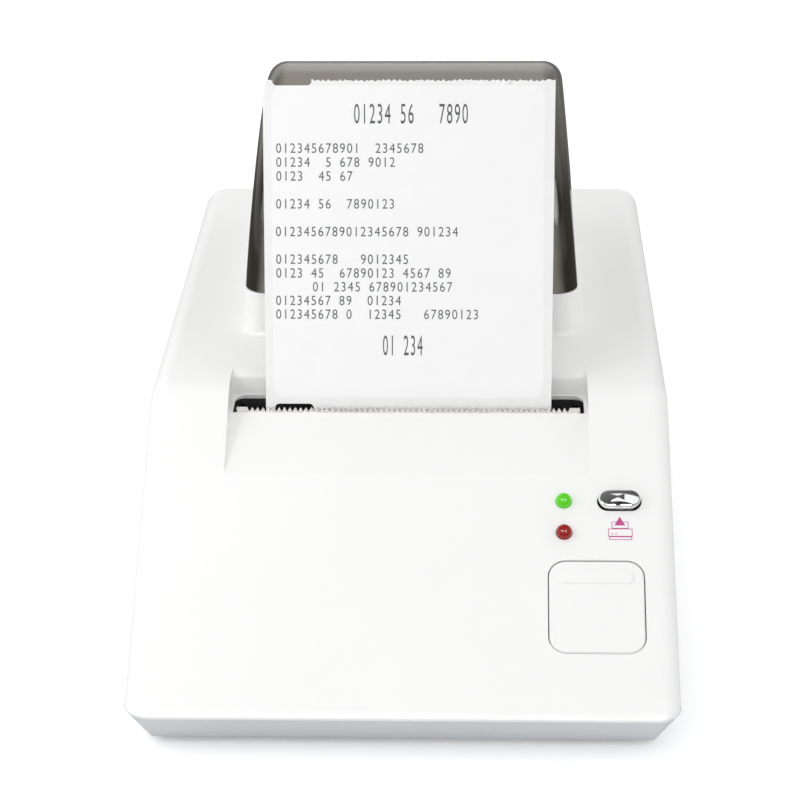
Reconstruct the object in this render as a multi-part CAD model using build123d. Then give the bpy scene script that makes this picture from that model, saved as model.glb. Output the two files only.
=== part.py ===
from build123d import *
from math import atan2, cos, degrees, hypot, pi, radians, sin, sqrt, tan
import os

# Desktop thermal label printer with a hinged smoked cover over the label roll.
# Millimetres. While modelling, y runs back from the front edge of the case,
# x runs to the right and z up from the table. put_out() centres the depth.

# Case
CASE_WIDTH = 114.0
REAR_WIDTH = 110.0
CASE_DEPTH = 188.0
PART_Z = 9.0
CREST_Y = 65.5
CREST_Z = 51.3
REAR_Z = 47.0
WALL = 2.2
PLAN_ROUND = 5.5
LEAST_ROUND = 0.4
EDGE_ROUND = 4.2
CREST_ROUND = 8.0
UNDER_INSET = 5.2
FOOT_HEIGHT = 1.2
FLOOR = 2.0
TONGUE = 1.4
TONGUE_WALL = 1.2
SHELF = 1.4
FIT_GAP = 0.2

# Paper path
WEB_WIDTH = 62.0
WEB_THICK = 0.3
WEB_LEAN = 71.7
WEB_TOP_Z = 113.6
LABEL_WIDTH = 58.6
LABEL_LENGTH = 67.5
LABEL_THICK = 0.12
LABEL_GAP = 3.0
LABEL_ROUND = 2.5
NOTCH_WIDTH = 8.4
NOTCH_DEPTH = 1.9
NOTCH_INSET = 2.0

# Recess in the front face, the slot and the tear bar
RECESS_HALF = 38.9
RECESS_START = 56.5
RECESS_WALL = 2.0
SLOT_Y = 64.3
SLOT_Z = 45.6
SLOT_BACK = 71.8
SLOT_HALF = 38.2
SLOT_ROUND = 2.1
SLOT_LIP = 0.5
POCKET_TOP_Y = 73.6
POCKET_ROUND = 2.4
POCKET_FOOT = 1.2
GUIDE_WALL = 0.9
GUIDE_DEEP = 3.2
GUIDE_ENDS = 1.95
GUIDE_FRONT = 65.6
BAR_THICK = 0.6
BAR_LENGTH = 74.6
BAR_RISE = 1.15
BAR_DROP = 4.5
BAR_END = 2.1
TOOTH_PITCH = 1.17
TOOTH_DEPTH = 0.95
WEB_TO_BAR = 0.45

# Print head and platen
NIP_DROP = 8.5
PLATEN_R = 6.35
PLATEN_LENGTH = 66.0
PLATEN_SHAFT_R = 3.0
BUSH_R = 4.5
RUN_GAP = 0.05
PRESS_GAP = 0.02
BODY_GAP = 0.3
HEAD_WIDTH = 64.0
HEAD_GAP = 0.15
HEAD_PLATE = 1.0
HEAD_TALL = 10.0
HEAD_ABOVE_NIP = 1.5
SINK_THICK = 3.2
PIVOT_Y = 58.0
PIVOT_Z = 17.0
PIVOT_R = 1.5
SPRING_WIRE = 0.9
SPRING_GAP = 0.2
SPRING_X = 22.0
SPRING_LONG = 6.0
SINK_BASE = 1.4
FIN_PITCH = 4.0
FIN_CUT = 1.6
FIN_REACH = 7
CHEEK_THICK = 3.0
CHEEK_HUB = 3.0

# Chassis
PLATE = 1.2
CHASSIS_HALF = 35.5
CHASSIS_Z = 6.0
CHASSIS_FRONT = 50.0
CHASSIS_REAR = 104.0
PIVOT_LAND = 3.0
BUSH_LAND = 5.2
BUSH_REACH = 6.0
IDLER_LAND = 8.0
MOTOR_LAND = 10.0
BUSH_LIP = 0.6
ROD_PROUD = 1.0

# Drive train
GEAR_MODULE = 0.5
PLATEN_TEETH = 30
IDLER_TEETH = 40
PINION_TEETH = 12
GEAR_WIDTH = 4.0
GEAR_GAP = 1.8
IDLER_ANGLE = -25.0
PINION_ANGLE = -50.0
MOTOR_R = 10.0
MOTOR_LENGTH = 15.0
MOTOR_SHAFT_R = 1.0
MOTOR_SHAFT_IN = 6.0
MOTOR_EARS = 9.0
MOTOR_EAR_WIDE = 7.0
MOTOR_EAR_THICK = 0.8
MOTOR_HOLE_R = 2.5
IDLER_POST_R = 1.5

# Eye under the paper that finds the gaps between labels
EYE_X = -16.0
EYE_WIDE = 8.0
EYE_DEEP = 6.0
EYE_TALL = 3.2
EYE_GAP = 0.4
EYE_DROP = 0.8
EYE_RUN = 12.0
EYE_STAND_WIDE = 6.0
EYE_STAND_THICK = 1.6

# Label roll and its spool
ROLL_Y = 129.9
ROLL_Z = 57.0
ROLL_R = 24.0
CORE_R = 12.7
CORE_WALL = 1.5
SPOOL_GAP = 0.3
JOURNAL_R = 3.0
FLANGE_R = 17.0
FLANGE_THICK = 1.0
CRADLE_R = 32.0
CRADLE_WALL = 1.5
CRADLE_FRONT = 117.0
CHEEK_WALL = 1.3
CHEEK_TOP = 60.0

# Cover over the roll
HOOD_HALF = 37.35
HOOD_TOP_HALF = 33.8
HOOD_R = 38.1
HOOD_Y = 129.9
HOOD_Z = 61.5
HOOD_WALL = 2.0
HOOD_ROUND = 4.5
COLLAR_WALL = 2.6
COLLAR_ROUND = 4.5
COLLAR_FOOT = 1.6
SEAT_GAP = 0.3
HINGE_OUT = 2.8
HINGE_DROP = 1.0
BARREL_R = 2.4
HINGE_PIN_R = 1.2
KNUCKLE_X = 19.0
KNUCKLE = 7.0
EAR = 4.4
EAR_DEEP = 9.0
KNUCKLE_ROOT = 7.0
KNUCKLE_CLEAR = 0.35

# Controls, placed by the distance in from the right side and up the sloping front
LED_IN = 23.6
GREEN_UP = 50.3
RED_UP = 42.9
LED_R = 1.65
LED_GAP = 0.1
LED_RISE = 1.9
PANEL_DROP = 7.0
BOARD_THICK = 1.6
PANEL_LEFT = 3.2
PANEL_RIGHT = 5.5
PANEL_BELOW = 4.0
PANEL_ABOVE = 3.2
PANEL_POST_R = 1.4
PANEL_POST_RIGHT = 4.5
PANEL_POST_UP = 1.4
PANEL_POST_DOWN = 2.2
SWITCH_SIZE = 5.0
SWITCH_TALL = 2.2
SWITCH_GAP = 0.1
FEED_IN = 11.9
FEED_UP = 50.3
FEED_LENGTH = 8.9
FEED_WIDTH = 4.1
FEED_GAP = 0.25
FEED_RISE = 1.7
FEED_ROUND = 0.45
FEED_TRAVEL = 0.5
KEY_IN = 17.0
KEY_UP = 25.8
KEY_WIDTH = 19.75
KEY_HEIGHT = 20.9
KEY_ROUND = 3.6
KEY_GAP = 0.25
KEY_TRAVEL = 2.0
KEY_THICK = 2.0
BAR_X = 15.6
BAR_Y = 2.9
BAR_UP = 6.7
BAR_PROUD = 0.45
CATCH = 0.9
CATCH_THICK = 1.0
FEED_STEM = 2.4
FEED_CATCH_THICK = 0.8
STEM_DEPTH = 11.5
STEM_HALF = 1.5
ARM_HALF = 2.6
ARM_GAP = 0.8
ARM_HUB = 3.5
ARM_DEEP = 3.2
PAD_FRONT = 4.0
PAD_REAR = 5.0
PAD_THICK = 2.5

# Rear sockets and feet
JACK_X = -30.0
JACK_Z = 15.5
JACK_BORE = 3.2
JACK_PIN = 1.05
JACK_SIZE = 9.5
JACK_DEPTH = 13.0
PORT_X = -10.0
PORT_WIDTH = 12.0
PORT_HEIGHT = 11.0
PORT_DEPTH = 16.0
PORT_HOLE = 8.6
FOOT_R = 6.0
FOOT_SINK = 0.8
FOOT_IN_X = 17.0
FOOT_IN_Y = 18.0
POST_R = 3.0
SCREW_R = 1.5
SCREW_HEAD_R = 2.6
SCREW_SEAT = 3.6
SCREW_DEPTH = 8.0
SCREW_X = 46.0
SCREW_FRONT = 53.0
SCREW_REAR = 34.0

# Main board and its tallest parts
MAIN_BOARD_FRONT = 112.0
BOARD_OVER = 4.0
CAN_R = 4.0
CAN_TALL = 11.0
CAN_X = 14.0
CAN_STEP = 12.0
CAN_IN_Y = 20.0
CHIP_SIZE = 14.0
CHIP_TALL = 1.6
CHIP_X = 1.0
CHIP_BACK = 23.0
PLUG_X = 27.0
PLUG_WIDE = 14.0
PLUG_DEEP = 5.0
PLUG_TALL = 6.0
PLUG_BACK = 6.5

FACE_ANGLE = degrees(atan2(CREST_Z - PART_Z, CREST_Y))
DECK_ANGLE = degrees(atan2(REAR_Z - CREST_Z, CASE_DEPTH - CREST_Y))
BIG = 400.0
LED_X = CASE_WIDTH / 2 - LED_IN
FEED_X = CASE_WIDTH / 2 - FEED_IN
KEY_X = CASE_WIDTH / 2 - KEY_IN
ARM_X = CHASSIS_HALF + PLATE + ARM_GAP + ARM_HALF


def put_out(name, shape):
    """Writes one piece, with the depth of the case centred on the origin."""
    export_step(Pos(0, -CASE_DEPTH / 2, 0) * shape, f"parts/{name}.step")


def prism_x(face, x_low, x_high):
    """A face drawn in y and z, carried along x."""
    return extrude(Plane.YZ.offset(x_low) * face, x_high - x_low, dir=(1, 0, 0))


def polygon(*points):
    return Polygon(*points, align=None)


def rod_x(y, z, radius, x_low, x_high):
    return prism_x(Pos(y, z) * Circle(radius), x_low, x_high)


def block(x_low, x_high, y_low, y_high, z_low, z_high):
    size = Box(x_high - x_low, y_high - y_low, z_high - z_low)
    return Pos((x_low + x_high) / 2, (y_low + y_high) / 2, (z_low + z_high) / 2) * size


def face_z(y):
    """Height of the sloping front."""
    return PART_Z + y * tan(radians(FACE_ANGLE))


def deck_z(y):
    """Height of the top deck behind the crest."""
    return CREST_Z + (y - CREST_Y) * tan(radians(DECK_ANGLE))


def on_face(x, up, depth=0.0):
    """A plane on the sloping front, z outwards, y up the slope."""
    a = radians(FACE_ANGLE)
    y = up * cos(a) + depth * sin(a)
    z = PART_Z + up * sin(a) - depth * cos(a)
    return Plane(origin=(x, y, z), x_dir=(1, 0, 0), z_dir=(0, -sin(a), cos(a)))


def web_point(z):
    """Front face of the standing paper at height z, as y."""
    return SLOT_Y + (BAR_THICK + WEB_TO_BAR) / sin(lean()) + (z - SLOT_Z) / tan(lean())


def lean():
    return radians(WEB_LEAN)


def plan(inset=0.0):
    """The case seen from above."""
    front = CASE_WIDTH / 2
    rear = REAR_WIDTH / 2
    corners = [(-front, 0), (front, 0), (rear, CASE_DEPTH), (-rear, CASE_DEPTH)]
    face = polygon(*corners)
    if inset:
        face = offset(face, -inset, kind=Kind.INTERSECTION)
    return fillet(face.vertices(), max(PLAN_ROUND - inset, LEAST_ROUND))


def case_form(inset=0.0):
    """The closed form of the case above and a little below its parting line."""
    over = 20.0
    low = PART_Z - 8.0 + inset
    points = [
        (-over, low - over),
        (-over, face_z(-over)),
        (CREST_Y, CREST_Z),
        (CASE_DEPTH + over, deck_z(CASE_DEPTH + over)),
        (CASE_DEPTH + over, low - over),
    ]
    side = polygon(*points)
    crest = side.vertices().sort_by_distance((CREST_Y, CREST_Z))[0]
    side = fillet(crest, CREST_ROUND)
    if inset:
        side = offset(side, -inset)
    top = prism_x(side, -CASE_WIDTH, CASE_WIDTH)
    walls = extrude(Pos(0, 0, low) * plan(inset), BIG / 4)
    return top & walls


def rim_edges(form):
    """The edges where the top of the case turns into its walls."""
    chosen = []
    for edge in form.edges():
        size = edge.bounding_box().size
        centre = edge.center()
        upright = size.X < 0.01 and size.Y < 0.01
        bottom = size.Z < 0.01 and centre.Z < PART_Z - 1
        across = abs(centre.X) < 1 and PLAN_ROUND < centre.Y < CASE_DEPTH - PLAN_ROUND
        if not (upright or bottom or across):
            chosen.append(edge)
    return chosen


def recess_face():
    """Side view of what is cut away in front of and behind the paper slot."""
    a = radians(FACE_ANGLE)
    start = (RECESS_START * cos(a), PART_Z + RECESS_START * sin(a))
    shelf = POCKET_TOP_Y + 2 * POCKET_ROUND
    points = [
        start,
        (SLOT_Y, SLOT_Z),
        (SLOT_BACK, SLOT_Z),
        (POCKET_TOP_Y, deck_z(POCKET_TOP_Y)),
        (shelf, deck_z(shelf)),
        (shelf, CREST_Z + 10),
        (start[0], CREST_Z + 10),
    ]
    face = polygon(*points)
    face = fillet(face.vertices().sort_by_distance(points[2])[0], POCKET_FOOT)
    return fillet(face.vertices().sort_by_distance(points[3])[0], POCKET_ROUND)


def slot_cut():
    """The slot that the paper comes out of, its front wall leaning with the paper."""
    fall = 8.0
    top = 1.0
    points = [
        (SLOT_Y - fall / tan(lean()), SLOT_Z - fall),
        (SLOT_Y + top / tan(lean()), SLOT_Z + top),
        (SLOT_BACK, SLOT_Z + top),
        (SLOT_BACK, SLOT_Z - fall),
    ]
    cut = prism_x(polygon(*points), -SLOT_HALF, SLOT_HALF)
    ends = cut.edges().filter_by(Axis.Z).group_by(Axis.Y)[-1]
    return fillet(ends, SLOT_ROUND)


def slot_ring(grow, front, low, high):
    """The slot's plan, grown at its ends and back and carried from one height to another."""
    half = SLOT_HALF + grow
    back = SLOT_BACK + grow
    plan = polygon((-half, front), (half, front), (half, back), (-half, back))
    plan = fillet(plan.vertices().group_by(Axis.Y)[-1], SLOT_ROUND + grow)
    return extrude(Pos(0, 0, low) * plan, high - low)


def slot_guide():
    """Black paper guide under the slot's lip: short ends clear of the gear, a deeper back."""
    low = SLOT_Z - GUIDE_ENDS
    high = SLOT_Z - SLOT_LIP - PRESS_GAP
    ring = slot_ring(GUIDE_WALL, GUIDE_FRONT, low, high)
    ring -= slot_ring(0, GUIDE_FRONT - 1, low - 1, high + 1)
    half = SLOT_HALF - SLOT_ROUND
    back = SLOT_BACK + GUIDE_WALL
    return ring + block(-half, half, SLOT_BACK, back, SLOT_Z - GUIDE_DEEP, high)


def collar_plan(inset):
    """Rounded frame round the opening under the cover."""
    half = HOOD_HALF - inset
    deep = HOOD_R - inset
    rounding = max(COLLAR_ROUND - inset, 1.0)
    return Pos(0, HOOD_Y) * RectangleRounded(2 * half, 2 * deep, rounding)


def hinge_y():
    return HOOD_Y + HOOD_R + HINGE_OUT


def hinge_z():
    return HOOD_Z - HINGE_DROP


def hinge_ears():
    """Lugs on the back of the collar that hold the hinge pins."""
    top = HOOD_Z - SEAT_GAP
    y = hinge_y()
    z = hinge_z()
    root = y - HINGE_OUT - 1
    arm = polygon((root, top - EAR_DEEP), (root, top), (y, z), (y, z - BARREL_R))
    lug = prism_x(arm + Pos(y, z) * Circle(BARREL_R), 0, EAR)
    lug -= rod_x(y, z, HINGE_PIN_R + PRESS_GAP, -1, EAR + 1)
    ears = []
    for side in (-1, 1):
        inner = KNUCKLE_X - EAR - BODY_GAP
        outer = KNUCKLE_X + KNUCKLE + BODY_GAP
        for start in (inner, outer):
            place = start if side > 0 else -start - EAR
            ears.append(Pos(place, 0, 0) * lug)
    return ears


def upper_case():
    """White moulded upper half: sloping front, deck, collar and paper recess."""
    form = case_form()
    form = fillet(rim_edges(form), EDGE_ROUND)
    shell = form - case_form(WALL)
    recess = recess_face()
    tub_half = RECESS_HALF + RECESS_WALL
    tub = prism_x(offset(recess, RECESS_WALL, kind=Kind.INTERSECTION), -tub_half, tub_half)
    shell += tub & form
    shell -= prism_x(recess, -RECESS_HALF, RECESS_HALF)
    shell -= slot_cut()
    grow = GUIDE_WALL + PRESS_GAP
    shell -= slot_ring(grow, GUIDE_FRONT - PRESS_GAP, SLOT_Z - BIG / 8, SLOT_Z - SLOT_LIP)
    top = HOOD_Z - SEAT_GAP
    low = deck_z(HOOD_Y + HOOD_R) - WALL - 1
    collar = extrude(Pos(0, 0, low) * collar_plan(0), top - low)
    shell += collar
    foot = []
    for edge in shell.edges():
        box = edge.bounding_box()
        near = abs((box.min.Z + box.max.Z) / 2 - deck_z(edge.center().Y)) < 0.05
        wide = abs(box.center().X) <= HOOD_HALF + 0.01
        deep = abs(box.center().Y - HOOD_Y) <= HOOD_R + 0.01
        if near and wide and deep and box.min.Y > HOOD_Y - HOOD_R - 0.01:
            foot.append(edge)
    shell = fillet(foot, COLLAR_FOOT)
    for ear in hinge_ears():
        shell += ear
    shell -= extrude(Pos(0, 0, low - 5) * collar_plan(COLLAR_WALL), BIG / 4)
    shell -= block(-BIG, BIG, -BIG, BIG, -BIG, PART_Z)
    for up in (GREEN_UP, RED_UP):
        shell -= extrude(on_face(LED_X, up, 5) * Circle(LED_R + LED_GAP), 10)
    pill = SlotOverall(FEED_LENGTH + 2 * FEED_GAP, FEED_WIDTH + 2 * FEED_GAP)
    shell -= extrude(on_face(FEED_X, FEED_UP, 5) * pill, 10)
    key = RectangleRounded(KEY_WIDTH + 2 * KEY_GAP, KEY_HEIGHT + 2 * KEY_GAP, KEY_ROUND + KEY_GAP)
    shell -= extrude(on_face(KEY_X, KEY_UP, 6) * key, 12)
    for cut in rear_cuts():
        shell -= cut
    for x, y in boss_places():
        boss = Pos(x, y, PART_Z) * extrude(Circle(POST_R), BIG / 8)
        bore = Pos(x, y, PART_Z) * extrude(Circle(SCREW_R + PRESS_GAP), SCREW_DEPTH)
        shell += (boss & form) - bore
    return shell


def boss_places():
    """The four case screws, in plan."""
    places = []
    for y in (SCREW_FRONT, CASE_DEPTH - SCREW_REAR):
        for side in (-1, 1):
            places.append((side * SCREW_X, y))
    return places


def rear_cuts():
    """Openings in the back wall for the power jack and the data port."""
    rear = CASE_DEPTH
    gap = 0.3
    jack = block(JACK_X - JACK_SIZE / 2 - gap, JACK_X + JACK_SIZE / 2 + gap, rear - 4, rear + 4,
                 JACK_Z - JACK_SIZE / 2 - gap, JACK_Z + JACK_SIZE / 2 + gap)
    port = block(PORT_X - PORT_WIDTH / 2 - gap, PORT_X + PORT_WIDTH / 2 + gap, rear - 4, rear + 4,
                 JACK_Z - JACK_SIZE / 2 - gap, JACK_Z - JACK_SIZE / 2 + PORT_HEIGHT + gap)
    return [jack, port]


def lower_case():
    """Shallow tray under the parting line, drawn in towards its foot."""
    floor_z = FOOT_HEIGHT + FLOOR
    floor_inset = WALL + UNDER_INSET * (PART_Z - floor_z) / (PART_Z - FOOT_HEIGHT)
    rim = Pos(0, 0, PART_Z)
    outer = loft([Pos(0, 0, FOOT_HEIGHT) * plan(UNDER_INSET), rim * plan()], ruled=True)
    inner = loft([Pos(0, 0, floor_z) * plan(floor_inset), rim * plan(WALL)], ruled=True)
    tray = outer - inner
    tray += extrude(Pos(0, 0, PART_Z - SHELF) * (plan(WALL - 0.6) - plan(2 * WALL)), SHELF)
    tongue = case_form(WALL + FIT_GAP) - case_form(WALL + FIT_GAP + TONGUE_WALL)
    tray += tongue & block(-BIG, BIG, -BIG, BIG, PART_Z - SHELF / 2, PART_Z + TONGUE)
    for x, y in post_places():
        tray += Pos(x, y, floor_z) * extrude(Circle(POST_R), CHASSIS_Z - floor_z)
    for x, y in boss_places():
        tray += Pos(x, y, floor_z) * extrude(Circle(POST_R), PART_Z - floor_z)
    for x, y in boss_places():
        head = Pos(x, y, -1) * extrude(Circle(SCREW_HEAD_R + FIT_GAP), SCREW_SEAT + 1)
        tray -= head + Pos(x, y, SCREW_SEAT - 1) * extrude(Circle(SCREW_R + FIT_GAP), PART_Z)
    for x, y in foot_places():
        tray -= Pos(x, y, -1) * extrude(Circle(FOOT_R + FIT_GAP), FOOT_HEIGHT + FOOT_SINK + 1)
    return tray


def foot_places():
    places = []
    for y in (FOOT_IN_Y, CASE_DEPTH - FOOT_IN_Y):
        for side in (-1, 1):
            places.append((side * (CASE_WIDTH / 2 - FOOT_IN_X), y))
    return places


def post_places():
    """Posts under the chassis and the main board."""
    places = []
    for y in (CHASSIS_FRONT + 5, CHASSIS_REAR - 5, MAIN_BOARD_FRONT + 5, CASE_DEPTH - 24):
        for side in (-1, 1):
            places.append((side * (CHASSIS_HALF - 6), y))
    return places


def rubber_feet():
    feet = []
    for x, y in foot_places():
        pad = extrude(Circle(FOOT_R), FOOT_HEIGHT + FOOT_SINK)
        pad = chamfer(pad.edges().group_by(Axis.Z)[0], 0.5)
        feet.append(Pos(x, y, 0) * pad)
    return Compound(children=feet)


def case_screws():
    screws = []
    for x, y in boss_places():
        head = Pos(0, 0, SCREW_SEAT - 1.8) * extrude(Circle(SCREW_HEAD_R), 1.8)
        shank = Pos(0, 0, SCREW_SEAT) * extrude(Circle(SCREW_R), PART_Z - SCREW_SEAT + SCREW_DEPTH - 1)
        screws.append(Pos(x, y, 0) * (head + shank))
    return Compound(children=screws)


def half_round(radius, depth_to, width_low, width_top):
    """Half cylinder along x whose two ends lean in towards the top."""
    slice_face = Pos(HOOD_Y, HOOD_Z) * Circle(radius)
    slice_face -= Pos(HOOD_Y, depth_to - BIG / 2) * Rectangle(BIG, BIG)
    body = prism_x(slice_face, -BIG / 4, BIG / 4)
    rise = HOOD_R
    ends = Polygon((-width_low, 0), (width_low, 0), (width_top, rise), (-width_top, rise), align=None)
    wedge = extrude(Plane.XZ.offset(-HOOD_Y - BIG / 4) * Pos(0, HOOD_Z) * ends, BIG / 2)
    return body & wedge


def arc_edges(body):
    """The curved edges at the two ends of a half cylinder."""
    return [edge for edge in body.edges() if edge.bounding_box().size.Z > HOOD_R / 2]


def roll_cover():
    """Smoked cover: a half-round shell with flat, slightly drawn-in ends."""
    outer = half_round(HOOD_R, HOOD_Z, HOOD_HALF, HOOD_TOP_HALF)
    outer = fillet(arc_edges(outer), HOOD_ROUND)
    inner = half_round(HOOD_R - HOOD_WALL, HOOD_Z, HOOD_HALF - HOOD_WALL, HOOD_TOP_HALF - HOOD_WALL)
    inner = fillet(arc_edges(inner), HOOD_ROUND - HOOD_WALL)
    shell = outer - inner
    y = hinge_y()
    z = hinge_z()
    base = HOOD_Z
    root = y - HINGE_OUT - 1
    arm = polygon((root, base), (root - 0.2, base + KNUCKLE_ROOT), (y + BARREL_R, z), (y, z))
    knuckle = prism_x(arm, 0, KNUCKLE) + rod_x(y, z, BARREL_R, 0, KNUCKLE)
    knuckle -= block(-1, KNUCKLE + 1, 0, y - HINGE_OUT + KNUCKLE_CLEAR, 0, base)
    knuckle -= rod_x(y, z, HINGE_PIN_R + RUN_GAP, -1, KNUCKLE + 1)
    for start in (KNUCKLE_X, -KNUCKLE_X - KNUCKLE):
        shell += Pos(start, 0, 0) * knuckle
    return shell


def hinge_pins():
    pins = []
    low = KNUCKLE_X - EAR - BODY_GAP
    high = KNUCKLE_X + KNUCKLE + BODY_GAP + EAR
    for start, stop in ((low, high), (-high, -low)):
        pins.append(rod_x(hinge_y(), hinge_z(), HINGE_PIN_R, start, stop))
    return Compound(children=pins)


def tear_bar():
    """Serrated steel strip with plain ends that stands in front of the paper."""
    half = BAR_LENGTH / 2
    count = int((BAR_LENGTH - 2 * BAR_END) / TOOTH_PITCH)
    teeth = count * TOOTH_PITCH / 2
    points = [(-half, -BAR_DROP), (half, -BAR_DROP), (half, BAR_RISE)]
    for number in range(count):
        right = teeth - number * TOOTH_PITCH
        points.append((right, BAR_RISE))
        points.append((right - TOOTH_PITCH / 2, BAR_RISE - TOOTH_DEPTH))
    points.append((-teeth, BAR_RISE))
    points.append((-half, BAR_RISE))
    front = Plane(origin=(0, SLOT_Y, SLOT_Z), x_dir=(1, 0, 0), z_dir=(0, -sin(lean()), cos(lean())))
    return extrude(front * polygon(*points), -BAR_THICK)


def nip():
    """The line where head and platen pinch the paper: y and z on the paper's front."""
    z = SLOT_Z - NIP_DROP * sin(lean())
    return web_point(z), z


def platen_centre():
    y, z = nip()
    reach = WEB_THICK + BODY_GAP + PLATEN_R
    return y + reach * sin(lean()), z - reach * cos(lean())


def roll_line():
    """Direction and end of the straight run from the roll's foot to the platen's foot."""
    py, pz = platen_centre()
    near = PLATEN_R + BODY_GAP
    far = ROLL_R + BODY_GAP
    span = hypot(ROLL_Y - py, ROLL_Z - pz)
    angle = atan2(ROLL_Z - pz, ROLL_Y - py) - atan2(far - near, sqrt(span**2 - (far - near) ** 2))
    return angle


def web_layer(inner, outer, low_run):
    """Side view of the paper: roll, round the platen, out of the slot."""
    py, pz = platen_centre()
    angle = roll_line()
    reach = PLATEN_R + BODY_GAP
    sides = []
    for depth in (inner, outer):
        radius = reach + depth
        foot = (py + radius * sin(angle), pz - radius * cos(angle))
        start = (foot[0] + low_run * cos(angle), foot[1] + low_run * sin(angle))
        exit_angle = pi + (lean() - pi / 2)
        middle_angle = (angle - pi / 2 + exit_angle - 2 * pi) / 2
        middle = (py + radius * cos(middle_angle), pz + radius * sin(middle_angle))
        end = (py - radius * sin(lean()), pz + radius * cos(lean()))
        top = (end[0] + (WEB_TOP_Z - end[1]) / tan(lean()), WEB_TOP_Z)
        sides.append((start, foot, middle, end, top))
    near, far = sides
    edges = []
    for start, foot, middle, end, top in sides:
        edges += [Line(start, foot), ThreePointArc(foot, middle, end), Line(end, top)]
    edges += [Line(near[0], far[0]), Line(near[4], far[4])]
    return make_face(edges)


def notch_centres():
    """Where the two gaps between labels lie up the standing paper, from the slot."""
    run = (WEB_TOP_Z - SLOT_Z) / sin(lean())
    return run - NOTCH_DEPTH / 2 + 0.6, run - LABEL_LENGTH - LABEL_GAP


def web_front(depth=0.0):
    """A plane on the front of the standing paper, z towards the front."""
    y = web_point(SLOT_Z) + depth * sin(lean())
    z = SLOT_Z - depth * cos(lean())
    return Plane(origin=(0, y, z), x_dir=(1, 0, 0), z_dir=(0, -sin(lean()), cos(lean())))


def liner_web():
    """The carrier paper, from the roll to its torn end."""
    py, pz = platen_centre()
    run = sqrt(hypot(ROLL_Y - py, ROLL_Z - pz) ** 2 - (ROLL_R - PLATEN_R) ** 2)
    strip = prism_x(web_layer(0, WEB_THICK, run), -WEB_WIDTH / 2, WEB_WIDTH / 2)
    for up in notch_centres():
        hole = SlotOverall(NOTCH_WIDTH, NOTCH_DEPTH)
        x = -WEB_WIDTH / 2 + NOTCH_INSET + NOTCH_WIDTH / 2
        strip -= extrude(web_front(1) * Pos(x, up) * hole, 2)
    return strip


def label_face():
    """The label that stands ready to be peeled off its carrier."""
    top = notch_centres()[0] - NOTCH_DEPTH / 2
    sheet = RectangleRounded(LABEL_WIDTH, LABEL_LENGTH, LABEL_ROUND)
    return extrude(web_front() * Pos(0, top - LABEL_LENGTH / 2) * sheet, LABEL_THICK)


def head_plane(depth):
    """A plane on the front of the paper at the nip, moved towards the front by depth."""
    y, z = nip()
    return Plane(
        origin=(0, y - depth * sin(lean()), z + depth * cos(lean())),
        x_dir=(1, 0, 0),
        z_dir=(0, -sin(lean()), cos(lean())),
    )


def print_head():
    """Ceramic strip with the heating line, facing the platen."""
    low = HEAD_ABOVE_NIP - HEAD_TALL
    face = Pos(0, (HEAD_ABOVE_NIP + low) / 2) * Rectangle(HEAD_WIDTH, HEAD_TALL)
    return extrude(head_plane(HEAD_GAP) * face, HEAD_PLATE)


def head_sink():
    """Finned aluminium block behind the head, with the arm that hangs on the pivot."""
    front = HEAD_GAP + HEAD_PLATE
    low = HEAD_ABOVE_NIP - HEAD_TALL
    face = Pos(0, (HEAD_ABOVE_NIP + low) / 2) * Rectangle(HEAD_WIDTH, HEAD_TALL)
    sink = extrude(head_plane(front) * face, SINK_THICK)
    fin = Pos(0, (HEAD_ABOVE_NIP + low) / 2) * Rectangle(FIN_CUT, HEAD_TALL + 2)
    for number in range(-FIN_REACH, FIN_REACH + 1):
        sink -= extrude(head_plane(front + SINK_BASE) * Pos(number * FIN_PITCH, 0) * fin, SINK_THICK)
    back = head_plane(front + SINK_THICK / 2)
    high = back.from_local_coords((0, low + HEAD_TALL / 3, 0))
    foot = back.from_local_coords((0, low + SINK_THICK / 2, 0))
    for x in (-HEAD_WIDTH / 2, HEAD_WIDTH / 2 - CHEEK_THICK):
        cheek = polygon(
            (PIVOT_Y - CHEEK_HUB, PIVOT_Z),
            (high.Y - SINK_THICK / 2, high.Z),
            (high.Y, high.Z),
            (foot.Y, foot.Z),
            (PIVOT_Y + CHEEK_HUB, PIVOT_Z),
        )
        sink += prism_x(cheek + Pos(PIVOT_Y, PIVOT_Z) * Circle(CHEEK_HUB), x, x + CHEEK_THICK)
    return sink - rod_x(PIVOT_Y, PIVOT_Z, PIVOT_R + PRESS_GAP, -BIG, BIG)


def head_pivot():
    left = -CHASSIS_HALF - PLATE - ROD_PROUD
    return rod_x(PIVOT_Y, PIVOT_Z, PIVOT_R, left, ARM_X + ARM_HALF + ROD_PROUD)


def release_arm():
    """Arm on the end of the pivot rod that the square key pushes down."""
    tip = on_face(ARM_X, KEY_UP, STEM_DEPTH).origin
    top = tip.Z - STEM_HALF * sin(radians(FACE_ANGLE)) - BODY_GAP
    points = [
        (tip.Y - PAD_FRONT, top),
        (tip.Y + PAD_REAR, top),
        (PIVOT_Y, PIVOT_Z + ARM_DEEP),
        (PIVOT_Y, PIVOT_Z - ARM_DEEP),
        (tip.Y + PAD_REAR / 2, top - PAD_THICK),
        (tip.Y - PAD_FRONT, top - PAD_THICK),
    ]
    left = ARM_X - ARM_HALF
    right = ARM_X + ARM_HALF
    arm = prism_x(polygon(*points), left, right) + rod_x(PIVOT_Y, PIVOT_Z, ARM_HUB, left, right)
    return arm - rod_x(PIVOT_Y, PIVOT_Z, PIVOT_R + PRESS_GAP, -BIG, BIG)


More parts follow.
